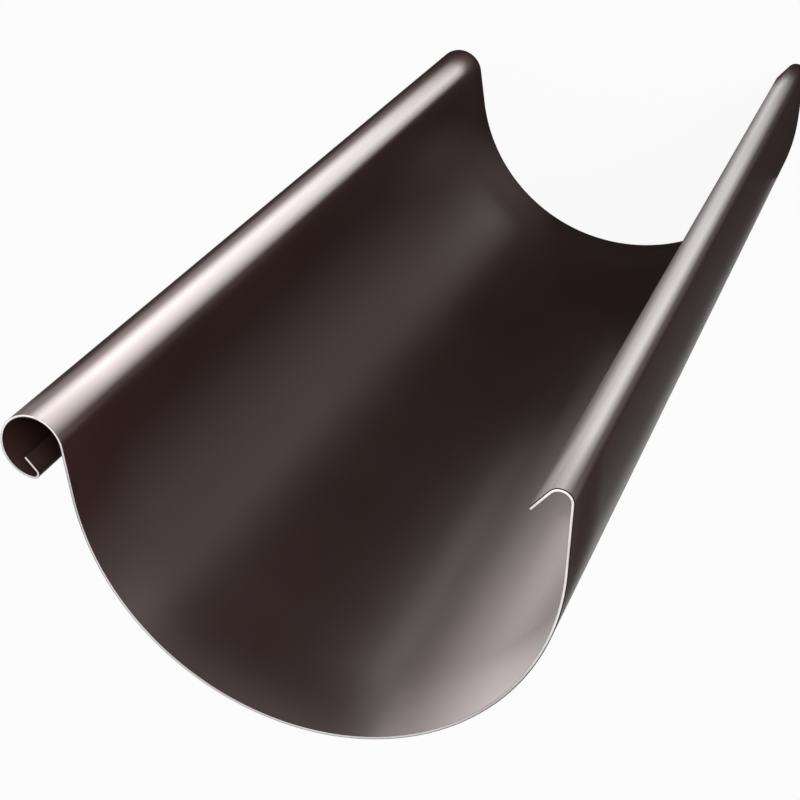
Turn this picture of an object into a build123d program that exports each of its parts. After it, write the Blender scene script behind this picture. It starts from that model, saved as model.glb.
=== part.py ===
"""Half-round roof gutter section, roll-formed from one strip of coated steel sheet.

The piece stands on one cut end, as a short length of gutter does on a level floor.
World frame: +Z up along the gutter, the open side of the trough faces -Y,
the bead is on the +X side and the taller back wall on the -X side,
origin under the middle of the section's box, on the floor.
"""
import os

from build123d import *

# Sheet and length
sheet_thickness = 0.8
section_length = 336.0

# Half-round trough, measured inside
trough_inner_radius = 62.5

# Front wall: leans out from the half-round before it turns into the bead
front_wall_lean = 10.0
front_wall_straight = 13.5

# Bead along the front edge, rolled outward, its free end bent back inside
bead_outer_radius = 9.0
bead_sweep = 260.0
bead_end_bend_radius = 1.6
bead_end_bend_angle = 134.0
bead_lip_length = 4.4

# Back edge: straight wall, folded over inward into a short sloping lip
back_wall_straight = 18.0
back_fold_radius = 3.4
back_fold_angle = 141.5
back_lip_length = 6.6

# Radii along the middle of the sheet
half_sheet = sheet_thickness / 2
trough_radius = trough_inner_radius + half_sheet
bead_radius = bead_outer_radius - half_sheet
bead_end_radius = bead_end_bend_radius - half_sheet
fold_radius = back_fold_radius - half_sheet

# The section as installed: trough axis at the origin, back wall upright on the right
with BuildSketch() as installed_section:
    with BuildLine():
        back_wall = Line((trough_radius, 0), (trough_radius, back_wall_straight))
        back_fold = JernArc(back_wall @ 1, back_wall % 1, fold_radius, back_fold_angle)
        PolarLine(back_fold @ 1, back_lip_length, direction=back_fold % 1)
        trough = JernArc(back_wall @ 0, (0, -1), trough_radius, front_wall_lean - 180)
        front_wall = PolarLine(trough @ 1, front_wall_straight, direction=trough % 1)
        bead = JernArc(front_wall @ 1, front_wall % 1, bead_radius, bead_sweep)
        bead_bend = JernArc(bead @ 1, bead % 1, bead_end_radius, bead_end_bend_angle)
        PolarLine(bead_bend @ 1, bead_lip_length, direction=bead_bend % 1)
    trace(line_width=sheet_thickness)

# Floor plane under the standing piece, turned so that the open side faces -Y
section_middle = installed_section.sketch.bounding_box().center()
floor_plane = Plane(
    origin=(section_middle.X, section_middle.Y, 0), x_dir=(-1, 0, 0), z_dir=(0, 0, 1)
)

with BuildPart() as gutter:
    with BuildSketch(floor_plane):
        add(installed_section.sketch)
    extrude(amount=section_length)
gutter.part.label = "gutter"

os.makedirs("parts", exist_ok=True)
export_step(gutter.part, "parts/gutter.step")
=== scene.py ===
import math

import bpy
from mathutils import Matrix, Vector


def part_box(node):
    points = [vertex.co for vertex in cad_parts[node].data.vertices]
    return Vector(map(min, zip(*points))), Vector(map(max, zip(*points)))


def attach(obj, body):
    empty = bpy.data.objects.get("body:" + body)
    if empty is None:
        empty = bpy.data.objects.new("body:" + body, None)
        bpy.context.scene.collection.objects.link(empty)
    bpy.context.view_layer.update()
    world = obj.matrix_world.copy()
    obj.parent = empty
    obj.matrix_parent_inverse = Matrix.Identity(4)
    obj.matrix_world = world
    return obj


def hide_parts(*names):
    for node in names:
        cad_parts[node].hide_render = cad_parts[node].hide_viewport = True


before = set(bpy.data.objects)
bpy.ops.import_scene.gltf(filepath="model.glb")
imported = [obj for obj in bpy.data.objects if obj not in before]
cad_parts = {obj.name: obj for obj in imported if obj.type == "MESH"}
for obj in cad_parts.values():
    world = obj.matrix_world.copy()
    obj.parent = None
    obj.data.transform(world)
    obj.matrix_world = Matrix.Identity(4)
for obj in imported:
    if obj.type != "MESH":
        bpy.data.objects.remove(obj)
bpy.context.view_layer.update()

gutterLow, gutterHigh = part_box("gutter")

scene = bpy.context.scene
scene.view_settings.view_transform = "Standard"


# Camera: looks down along the open trough, as the photograph does.

cameraSetup = {
    "place": (-0.13858, -0.23237, 0.64563),
    "turn": (-26.993, 22.416, -179.175),  # degrees about X, Y and Z
    "lens": 76.5,
    "shift": (0.0975, -0.04),
    "clipStart": 0.01,
}


def addCamera(setup):
    turn = [math.radians(angle) for angle in setup["turn"]]
    bpy.ops.object.camera_add(location=setup["place"], rotation=turn)
    camera = bpy.context.object
    camera.name = "photoCamera"
    camera.data.lens = setup["lens"]
    camera.data.shift_x = setup["shift"][0]
    camera.data.shift_y = setup["shift"][1]
    camera.data.clip_start = setup["clipStart"]
    scene.camera = camera


addCamera(cameraSetup)
print("camera ready")


# Helpers for edit mode

def deselectAll():
    for item in bpy.context.selected_objects:
        item.select_set(False)


def selectEdges(piece, isWanted):
    # leaves edit mode, marks the edges whose ends all pass the test, and goes back
    bpy.ops.mesh.select_mode(type="EDGE")
    bpy.ops.mesh.select_all(action="DESELECT")
    bpy.ops.object.mode_set(mode="OBJECT")
    points = piece.data.vertices
    for edge in piece.data.edges:
        if all(isWanted(points[end].co) for end in edge.vertices):
            edge.select = True
    bpy.ops.object.mode_set(mode="EDIT")


def applyModifiers(piece):
    for modifier in list(piece.modifiers):
        bpy.ops.object.modifier_apply(modifier=modifier.name)


# The gutter: one strip of sheet, bent the way the roll former bends it.
# Radii are measured to the middle of the sheet, which gets its thickness last.

gutterSheet = {
    "thickness": 0.0008,
    "troughRadius": 0.0629,
    "troughSteps": 85,
    "backWall": 0.018,
    "foldRadius": 0.003,
    "foldAngle": 141.5,  # degrees, as all angles here
    "foldSteps": 36,
    "backLip": 0.0066,
    "frontLean": 10.0,
    "frontWall": 0.0135,
    "beadRadius": 0.0086,
    "beadSweep": 260.0,
    "beadSteps": 78,
    "beadEndRadius": 0.0012,
    "beadEndAngle": 134.0,
    "beadEndSteps": 24,
    "beadLip": 0.0044,
    "heightCuts": 11,
    "mergeWithin": 0.000008,
    "outerRounding": 0.00022,  # of the cut edge, on the outer side of the sheet
    "innerRounding": 0.00005,
    "roundingSteps": 2,
    "smoothBelow": 40.0,
}


def bendRound(centre, angle, steps):
    # sweeps the selected edge round an upright line through the centre
    bpy.ops.mesh.spin(
        steps=steps,
        angle=-math.radians(angle),
        center=(centre.x, centre.y, 0),
        axis=(0, 0, 1),
        use_auto_merge=False,
    )


def runStraight(heading, length):
    # carries the selected edge straight on
    step = heading * length
    bpy.ops.mesh.extrude_edges_move(TRANSFORM_OT_translate={"value": (step.x, step.y, 0)})


def turned(heading, angle):
    # the heading after a turn to the left, seen from above
    result = heading.copy()
    result.rotate(Matrix.Rotation(math.radians(angle), 2))
    return result


def weighRim(sheet, innerWeight):
    # shearing rounds the outer side of the cut, and the paint goes with it
    points = sheet.data.vertices
    half = len(points) // 2  # one side of the sheet comes first, then the other
    firstOutside = max(p.co.y for p in points[:half]) > max(p.co.y for p in points[half:])
    finishesAt = {}
    for face in sheet.data.polygons:
        for key in face.edge_keys:
            finishesAt.setdefault(key, set()).add(face.material_index)
    weights = sheet.data.attributes.new("bevel_weight_edge", "FLOAT", "EDGE")
    for edge in sheet.data.edges:
        if len(finishesAt[edge.key]) == 2:
            isFirst = max(edge.vertices) < half
            weights.data[edge.index].value = 1 if isFirst == firstOutside else innerWeight


def addGutterSheet(size, finishes):
    height = gutterHigh.z - gutterLow.z
    halfSheet = size["thickness"] / 2
    wallX = gutterLow.x + halfSheet
    troughFloor = gutterHigh.y - halfSheet
    troughAxis = Vector((wallX + size["troughRadius"], troughFloor - size["troughRadius"]))
    wallTop = troughAxis.y - size["backWall"]
    wallMiddle = (troughAxis.y + wallTop) / 2

    # the straight back wall is the first strip
    deselectAll()
    bpy.ops.mesh.primitive_plane_add(
        size=1,
        location=(wallX, wallMiddle, height / 2),
        rotation=(0, math.radians(90), 0),
    )
    sheet = bpy.context.object
    sheet.name = "gutterSheet"
    sheet.scale = (height, size["backWall"], 1)
    bpy.ops.object.transform_apply(location=True, rotation=True, scale=True)
    bpy.ops.object.mode_set(mode="EDIT")

    # its upper edge is folded over inward and runs on as a short lip
    selectEdges(sheet, lambda co: co.y < wallMiddle)
    foldCentre = Vector((wallX + size["foldRadius"], wallTop))
    bendRound(foldCentre, size["foldAngle"], size["foldSteps"])
    runStraight(turned(Vector((0, -1)), size["foldAngle"]), size["backLip"])

    # its lower edge goes round the trough and up the leaning front wall
    selectEdges(sheet, lambda co: co.y > wallMiddle and co.x < wallX + halfSheet)
    troughSweep = size["frontLean"] - 180
    bendRound(troughAxis, troughSweep, size["troughSteps"])
    heading = turned(Vector((0, 1)), troughSweep)
    runStraight(heading, size["frontWall"])

    # the front edge is rolled outward into the bead, its free end bent back inside
    troughEnd = troughAxis + turned(Vector((-1, 0)), troughSweep) * size["troughRadius"]
    beadStart = troughEnd + heading * size["frontWall"]
    beadCentre = beadStart + turned(heading, 90) * size["beadRadius"]
    bendRound(beadCentre, size["beadSweep"], size["beadSteps"])
    heading = turned(heading, size["beadSweep"])
    beadEnd = beadCentre + turned(heading, -90) * size["beadRadius"]
    endCentre = beadEnd + turned(heading, 90) * size["beadEndRadius"]
    bendRound(endCentre, size["beadEndAngle"], size["beadEndSteps"])
    runStraight(turned(heading, size["beadEndAngle"]), size["beadLip"])

    # cut across at even heights, so that no face runs the whole length
    for cut in range(size["heightCuts"]):
        bpy.ops.mesh.select_all(action="SELECT")
        cutHeight = height * (cut + 1) / (size["heightCuts"] + 1)
        bpy.ops.mesh.bisect(plane_co=(0, 0, cutHeight), plane_no=(0, 0, 1))
    bpy.ops.mesh.select_all(action="SELECT")
    bpy.ops.mesh.remove_doubles(threshold=size["mergeWithin"])
    bpy.ops.mesh.normals_make_consistent(inside=False)
    bpy.ops.object.mode_set(mode="OBJECT")

    # the rim that the thickness leaves is the bare cut edge, the second finish, and the
    # rounding along both sides of it is the crushed coat, the third, with a painted shade
    # line
    for finish in finishes:
        sheet.data.materials.append(finish)
    wall = sheet.modifiers.new("sheetThickness", "SOLIDIFY")
    wall.thickness = size["thickness"]
    wall.offset = 0
    wall.use_even_offset = True
    wall.material_offset_rim = 1
    applyModifiers(sheet)
    weighRim(sheet, size["innerRounding"] / size["outerRounding"])
    rounding = sheet.modifiers.new("rimRounding", "BEVEL")
    rounding.width = size["outerRounding"]
    rounding.segments = size["roundingSteps"]
    rounding.limit_method = "WEIGHT"
    rounding.material = 2
    applyModifiers(sheet)
    bpy.ops.object.shade_smooth_by_angle(angle=math.radians(size["smoothBelow"]))
    return sheet


# Materials

def newMaterial(name):
    material = bpy.data.materials.new(name)
    material.use_nodes = True
    material.node_tree.nodes.clear()
    return material


def addNode(tree, kind, **values):
    node = tree.nodes.new("ShaderNode" + kind)
    for key, value in values.items():
        if key in node.inputs:
            node.inputs[key].default_value = value
        else:
            setattr(node, key, value)
    return node


def endIn(tree, shader):
    out = addNode(tree, "OutputMaterial")
    tree.links.new(shader.outputs[0], out.inputs["Surface"])


# Coil coating, the same on both sides: fine orange peel, faint lines that the forming rolls
# leave along the length, and a slow drift of colour and gloss.

paintLook = {
    "colour": (0.0335, 0.0146, 0.0140, 1),
    "paleColour": (0.0370, 0.0170, 0.0163, 1),
    "driftScale": 26.0,  # patches per metre
    "gloss": (0.29, 0.32),  # lowest and highest roughness
    "lineGloss": 0.01,  # how far the lines change it, up or down
    "peelScale": 900.0,
    "peelDepth": 0.000001,
    "lineScale": 420.0,
    "lineStretch": 0.012,
    "lineDepth": 0.000001,
    "speckScale": 3200.0,
    "speckLow": 0.4,  # share of the pale colour that is left between the specks
}


def noiseOn(tree, coordinates, scale, detail=2.0, roughness=0.5):
    noise = addNode(tree, "TexNoise", Scale=scale, Detail=detail, Roughness=roughness)
    tree.links.new(coordinates, noise.inputs["Vector"])
    return noise.outputs["Fac"]


def spread(tree, value, low, high, fromLow=0.35, fromHigh=0.65):
    mapped = addNode(tree, "MapRange")
    mapped.inputs["From Min"].default_value = fromLow
    mapped.inputs["From Max"].default_value = fromHigh
    mapped.inputs["To Min"].default_value = low
    mapped.inputs["To Max"].default_value = high
    tree.links.new(value, mapped.inputs["Value"])
    return mapped.outputs[0]


def bumpOn(tree, height, depth, normal=None):
    bump = addNode(tree, "Bump", Strength=1.0, Distance=depth)
    tree.links.new(height, bump.inputs["Height"])
    if normal is not None:
        tree.links.new(normal, bump.inputs["Normal"])
    return bump.outputs["Normal"]


def paintMaterial(look):
    material = newMaterial("brownCoat")
    tree = material.node_tree
    place = addNode(tree, "TexCoord").outputs["Object"]
    alongSheet = addNode(tree, "Mapping")
    alongSheet.inputs["Scale"].default_value = (1, 1, look["lineStretch"])
    tree.links.new(place, alongSheet.inputs["Vector"])

    drift = noiseOn(tree, place, look["driftScale"], detail=3)
    specks = noiseOn(tree, place, look["speckScale"], detail=1)
    lines = noiseOn(tree, alongSheet.outputs["Vector"], look["lineScale"], detail=3)
    peel = noiseOn(tree, place, look["peelScale"], detail=1)

    tone = addNode(tree, "Mix", data_type="RGBA")
    tone.inputs["A"].default_value = look["colour"]
    tone.inputs["B"].default_value = look["paleColour"]
    patchy = addNode(tree, "Math", operation="MULTIPLY")
    tree.links.new(spread(tree, drift, 0, 1), patchy.inputs[0])
    tree.links.new(spread(tree, specks, look["speckLow"], 1), patchy.inputs[1])
    tree.links.new(patchy.outputs[0], tone.inputs["Factor"])

    worn = addNode(tree, "Math", operation="ADD")
    tree.links.new(spread(tree, drift, *look["gloss"]), worn.inputs[0])
    lineGloss = look["lineGloss"]
    tree.links.new(spread(tree, lines, -lineGloss, lineGloss), worn.inputs[1])

    shader = addNode(tree, "BsdfPrincipled")
    tree.links.new(tone.outputs["Result"], shader.inputs["Base Color"])
    tree.links.new(worn.outputs[0], shader.inputs["Roughness"])
    rolled = bumpOn(tree, lines, look["lineDepth"])
    tree.links.new(bumpOn(tree, peel, look["peelDepth"], rolled), shader.inputs["Normal"])
    endIn(tree, shader)
    return material


# Bare cut edge: shear marks across the sheet, bright steel between, a trace of grey zinc

cutLook = {
    "steel": (0.82, 0.79, 0.785, 1),
    "zinc": (0.52, 0.49, 0.49, 1),
    "shearScale": 2600.0,
    "shearStretch": 0.25,
    "shearDepth": 0.000030,
    "stainScale": 30.0,
    "stainBetween": (0.4, 0.65),
    "gloss": (0.28, 0.4),
}


def cutMaterial(look):
    material = newMaterial("cutSteel")
    tree = material.node_tree
    place = addNode(tree, "TexCoord").outputs["Object"]
    sheared = addNode(tree, "Mapping")
    sheared.inputs["Scale"].default_value = (1, 1, look["shearStretch"])
    tree.links.new(place, sheared.inputs["Vector"])
    marks = noiseOn(tree, sheared.outputs["Vector"], look["shearScale"], detail=2)
    stain = noiseOn(tree, place, look["stainScale"], detail=4)
    tone = addNode(tree, "Mix", data_type="RGBA")
    tone.inputs["A"].default_value = look["steel"]
    tone.inputs["B"].default_value = look["zinc"]
    zincShare = spread(tree, stain, 0, 1, *look["stainBetween"])
    tree.links.new(zincShare, tone.inputs["Factor"])
    shader = addNode(tree, "BsdfPrincipled", Metallic=1.0)
    tree.links.new(tone.outputs["Result"], shader.inputs["Base Color"])
    tree.links.new(spread(tree, marks, *look["gloss"]), shader.inputs["Roughness"])
    tree.links.new(bumpOn(tree, marks, look["shearDepth"]), shader.inputs["Normal"])
    endIn(tree, shader)
    return material


# The coat is dull where the shear has crushed it over the corner of the cut, and its
# colour there is darker than the coat: a painted shade line along the edge

crushedCoatShadeLineLook = {
    # darker than the coat: painted shade, a dark line along the cut edge
    "colour": (0.024, 0.011, 0.0105, 1),
    "gloss": 0.85,
    "shine": 0.1,
    "grainScale": 5000.0,
    "grainDepth": 0.00002,
}


def crushedCoatShadeLineMaterial(look):
    material = newMaterial("crushedCoatShadeLine")
    tree = material.node_tree
    place = addNode(tree, "TexCoord").outputs["Object"]
    grain = noiseOn(tree, place, look["grainScale"], detail=1)
    shader = addNode(tree, "BsdfPrincipled", Roughness=look["gloss"])
    shader.inputs["Base Color"].default_value = look["colour"]
    shader.inputs["Specular IOR Level"].default_value = look["shine"]
    tree.links.new(bumpOn(tree, grain, look["grainDepth"]), shader.inputs["Normal"])
    endIn(tree, shader)
    return material


finishes = [paintMaterial(paintLook), cutMaterial(cutLook), crushedCoatShadeLineMaterial(crushedCoatShadeLineLook)]
gutter = addGutterSheet(gutterSheet, finishes)
print("sheet bent:", len(gutter.data.polygons), "faces")
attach(gutter, "root")
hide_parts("gutter")


# Floor: white paper to the camera and in reflections, with the shadow still showing

floorLook = {
    "size": 8,
    "paper": (0.88, 0.88, 0.88, 1),
    "whiteShare": 0.92,
}


def seenRays(tree):
    # 1 where the camera, a reflection or clear glass looks, 0 for light that bounces
    rays = addNode(tree, "LightPath")
    total = rays.outputs["Is Camera Ray"]
    for name in ("Is Glossy Ray", "Is Transmission Ray"):
        both = addNode(tree, "Math", operation="ADD", use_clamp=True)
        tree.links.new(total, both.inputs[0])
        tree.links.new(rays.outputs[name], both.inputs[1])
        total = both.outputs[0]
    return total


def addFloor(look):
    deselectAll()
    bpy.ops.mesh.primitive_plane_add(size=look["size"], location=(0, 0, 0))
    floor = bpy.context.object
    floor.name = "floor"
    material = newMaterial("whitePaper")
    tree = material.node_tree
    seen = seenRays(tree)
    share = addNode(tree, "Math", operation="MULTIPLY")
    share.inputs[1].default_value = look["whiteShare"]
    tree.links.new(seen, share.inputs[0])
    paper = addNode(tree, "BsdfDiffuse", Color=look["paper"])
    white = addNode(tree, "Emission")
    mix = addNode(tree, "MixShader")
    tree.links.new(share.outputs[0], mix.inputs["Fac"])
    tree.links.new(paper.outputs[0], mix.inputs[1])
    tree.links.new(white.outputs[0], mix.inputs[2])
    endIn(tree, mix)
    floor.data.materials.append(material)


addFloor(floorLook)


# Dark card on the floor that only reflections see, like a black flag in a photo studio. It
# is darkest at the axis of the trough, and has one pale spot.

darkCard = {
    "low": (-0.45, -0.55),
    "high": (0.45, 0.35),
    "height": 0.0003,
    "colour": (1, 0.88, 0.87, 1),
    "troughAxis": (-0.0092, -0.0210, 0.0003),
    "darkWithin": 0.015,  # metres from the axis, as the next value
    "palestAt": 0.060,
    "glow": 0.04,
    "spot": (0.0305, 0.0145, 0.0003),  # carries the band of light on to the lower rim
    "spotCore": 0.005,
    "spotEdge": 0.024,
    "spotGlow": 0.2,
}


def glossOnly(item):
    item.visible_camera = False
    item.visible_diffuse = False
    item.visible_transmission = False


def distanceFrom(tree, place, point):
    away = addNode(tree, "VectorMath", operation="DISTANCE")
    away.inputs[1].default_value = point
    tree.links.new(place, away.inputs[0])
    return away.outputs["Value"]


def addDarkCard(card):
    low = Vector(card["low"])
    high = Vector(card["high"])
    middle = (low + high) / 2
    deselectAll()
    bpy.ops.mesh.primitive_plane_add(size=1, location=(middle.x, middle.y, card["height"]))
    flag = bpy.context.object
    flag.name = "darkCard"
    flag.scale = (high.x - low.x, high.y - low.y, 1)
    bpy.ops.object.transform_apply(location=True, rotation=True, scale=True)
    material = newMaterial("darkVelvet")
    tree = material.node_tree
    place = addNode(tree, "TexCoord").outputs["Object"]
    away = distanceFrom(tree, place, card["troughAxis"])
    paler = spread(tree, away, 0, card["glow"], card["darkWithin"], card["palestAt"])
    fromSpot = distanceFrom(tree, place, card["spot"])
    spot = spread(tree, fromSpot, card["spotGlow"], 0, card["spotCore"], card["spotEdge"])
    total = addNode(tree, "Math", operation="ADD")
    tree.links.new(paler, total.inputs[0])
    tree.links.new(spot, total.inputs[1])
    cloth = addNode(tree, "Emission", Color=card["colour"])
    tree.links.new(total.outputs[0], cloth.inputs["Strength"])
    endIn(tree, cloth)
    flag.data.materials.append(material)
    glossOnly(flag)
    flag.visible_shadow = False


addDarkCard(darkCard)


# Lights: the soft lamp and the world light the object, and the upright strips add gloss
# only. A strip shines to the left of its path, seen from above.

softLamp = {
    "place": (-0.9, -1.1, 1.6),
    "aim": (0, 0, 0.17),
    "size": 1.2,
    "power": 20,
}

# A strip stands on a path of points: x and y in millimetres, glow at its foot, glow at its
# top. Its low and high are in metres.
glossStrips = {
    "beadStrip": {
        "low": 0.0,
        "high": 0.37,
        "colour": (1, 0.965, 0.96),
        "path": [
            (50.5, -28.8, 1.0, 0.2), (55.4, -33.2, 6.2, 11.6), (61.4, -35.6, 2.2, 20.0),
            (67.2, -35.7, 0.0, 2.8), (74.3, -33.4, 0.0, 0.3),
        ],
    },
    "foldStrip": {
        "low": 0.0,
        "high": 0.37,
        "colour": (1, 1, 1),
        "path": [
            (-82.0, -36.0, 0.0, 0.0), (-76.0, -44.0, 0.1, 0.8), (-69.0, -47.5, 1.3, 9.6),
            (-61.5, -43.5, 2.4, 2.8), (-58.5, -34.0, 0.7, 0.2),
        ],
    },
    "bandStrip": {
        "low": 0.0,
        "high": 0.336,
        "colour": (1, 0.91, 0.91),
        "path": [
            (17.5, 18.4, 0.2, 0.0), (22.5, 14.9, 0.8, 0.0), (27.5, 10.8, 0.3, 0.7),
            (32.5, 5.8, 0.0, 0.5), (37.0, -1.5, 0.0, 0.0),
        ],
    },
    "troughStrip": {
        "low": 0.08,
        "high": 0.345,
        "colour": (1, 0.92, 0.92),
        "path": [
            (12.0, -8.0, 0.0, 0.0), (12.0, 2.0, 0.1, 0.7), (12.0, 10.0, 0.0, 0.3),
            (12.0, 18.0, 0.0, 0.0),
        ],
    },
    "wallStrip": {
        "low": 0.08,
        "high": 0.345,
        "colour": (1, 0.92, 0.92),
        "path": [
            (-25.0, 4.0, 0.0, 0.0), (-25.0, 9.0, 1.0, 0.0), (-25.0, 15.0, 0.5, 6.5),
            (-25.0, 21.0, 0.0, 7.6), (-25.0, 27.0, 0.0, 3.4), (-25.0, 32.0, 0.0, 1.3),
            (-25.0, 35.5, 0.0, 0.5), (-25.0, 39.0, 0.0, 0.0),
        ],
    },
    "cornerStrip": {
        "low": 0.225,
        "high": 0.32,
        "colour": (1, 0.84, 0.84),
        "path": [
            (-40.0, 11.0, 0.0, 0.0), (-40.0, 18.0, 1.6, 0.0), (-40.0, 24.0, 1.6, 0.0),
            (-40.0, 30.0, 0.0, 0.0),
        ],
    },
    "backStrip": {
        "low": 0.0,
        "high": 0.37,
        "colour": (1, 1, 1),
        "path": [(-70.0, 5.0, 1.3, 0.8), (-76.0, 5.0, 0.1, 0.6), (-84.0, 5.0, 0.0, 0.0)],
    },
}


def addSoftLamp(lamp):
    away = Vector(lamp["place"]) - Vector(lamp["aim"])
    turn = away.to_track_quat("Z", "Y").to_euler()
    bpy.ops.object.light_add(type="AREA", location=lamp["place"], rotation=turn)
    light = bpy.context.object
    light.name = "softLamp"
    light.data.shape = "SQUARE"
    light.data.size = lamp["size"]
    light.data.energy = lamp["power"]
    light.visible_camera = False


def glowBetween(tree, share, low, high):
    mapped = addNode(tree, "MapRange")
    for name, glow in (("To Min", low), ("To Max", high)):
        if isinstance(glow, bpy.types.NodeSocket):
            tree.links.new(glow, mapped.inputs[name])
        else:
            mapped.inputs[name].default_value = glow
    tree.links.new(share, mapped.inputs["Value"])
    return mapped.outputs[0]


def addGlossRun(name, start, end, strip):
    millimetre = 0.001
    foot = Vector(start[:2]) * millimetre
    along = Vector(end[:2]) * millimetre - foot
    middle = foot + along / 2
    low = strip["low"]
    high = strip["high"]
    deselectAll()
    bpy.ops.object.light_add(
        type="AREA",
        location=(middle.x, middle.y, (low + high) / 2),
        rotation=(math.radians(90), 0, math.atan2(along.y, along.x)),
    )
    light = bpy.context.object
    light.name = name
    light.data.shape = "RECTANGLE"
    light.data.size = along.length
    light.data.size_y = high - low
    light.data.color = strip["colour"]
    # at this power the glow is the radiance
    light.data.energy = math.pi * light.data.size * light.data.size_y
    light.data.use_nodes = True
    tree = light.data.node_tree
    across = addNode(tree, "SeparateXYZ")
    tree.links.new(addNode(tree, "NewGeometry").outputs["Parametric"], across.inputs[0])
    footGlow = glowBetween(tree, across.outputs["X"], start[2], end[2])
    topGlow = glowBetween(tree, across.outputs["X"], start[3], end[3])
    glow = glowBetween(tree, across.outputs["Y"], footGlow, topGlow)
    tree.links.new(glow, tree.nodes["Emission"].inputs["Strength"])
    glossOnly(light)


def addGlossStrip(name, strip):
    path = strip["path"]
    for run in range(len(path) - 1):
        addGlossRun(name + str(run + 1), path[run], path[run + 1], strip)


# Cards that hang level above the upper rim, which mirrors them to the camera
rimCards = {
    "sideCard": {"place": (0.15, 0.06, 0.646), "size": (0.5, 0.33), "glow": 0.6},
    "spotCard": {"place": (0.121, 0.32, 0.646), "size": (0.07, 0.06), "glow": 2.0},
}


def addRimCard(name, card):
    deselectAll()
    bpy.ops.object.light_add(type="AREA", location=card["place"])
    light = bpy.context.object
    light.name = name
    light.data.shape = "RECTANGLE"
    light.data.size, light.data.size_y = card["size"]
    light.data.energy = math.pi * light.data.size * light.data.size_y * card["glow"]
    glossOnly(light)


addSoftLamp(softLamp)
for name, strip in glossStrips.items():
    addGlossStrip(name, strip)
for name, card in rimCards.items():
    addRimCard(name, card)


# World: white to the camera and through glass, darker in the gloss and as light

worldLook = {
    "colour": (1, 1, 1, 1),
    "light": 0.52,
    "mirrored": 0.65,
    "seen": 1.0,
}


def addWorld(look):
    world = bpy.data.worlds.new("studio")
    scene.world = world
    world.use_nodes = True
    tree = world.node_tree
    sky = tree.nodes["Background"]
    sky.inputs["Color"].default_value = look["colour"]
    rays = addNode(tree, "LightPath")
    levels = {
        "Glossy": look["mirrored"],
        "Transmission": look["seen"],
        "Camera": look["seen"],
    }
    strength = look["light"]
    for kind, level in levels.items():
        isKind = rays.outputs["Is " + kind + " Ray"]
        strength = glowBetween(tree, isKind, strength, level)
    tree.links.new(strength, sky.inputs["Strength"])


addWorld(worldLook)
print("lights ready")
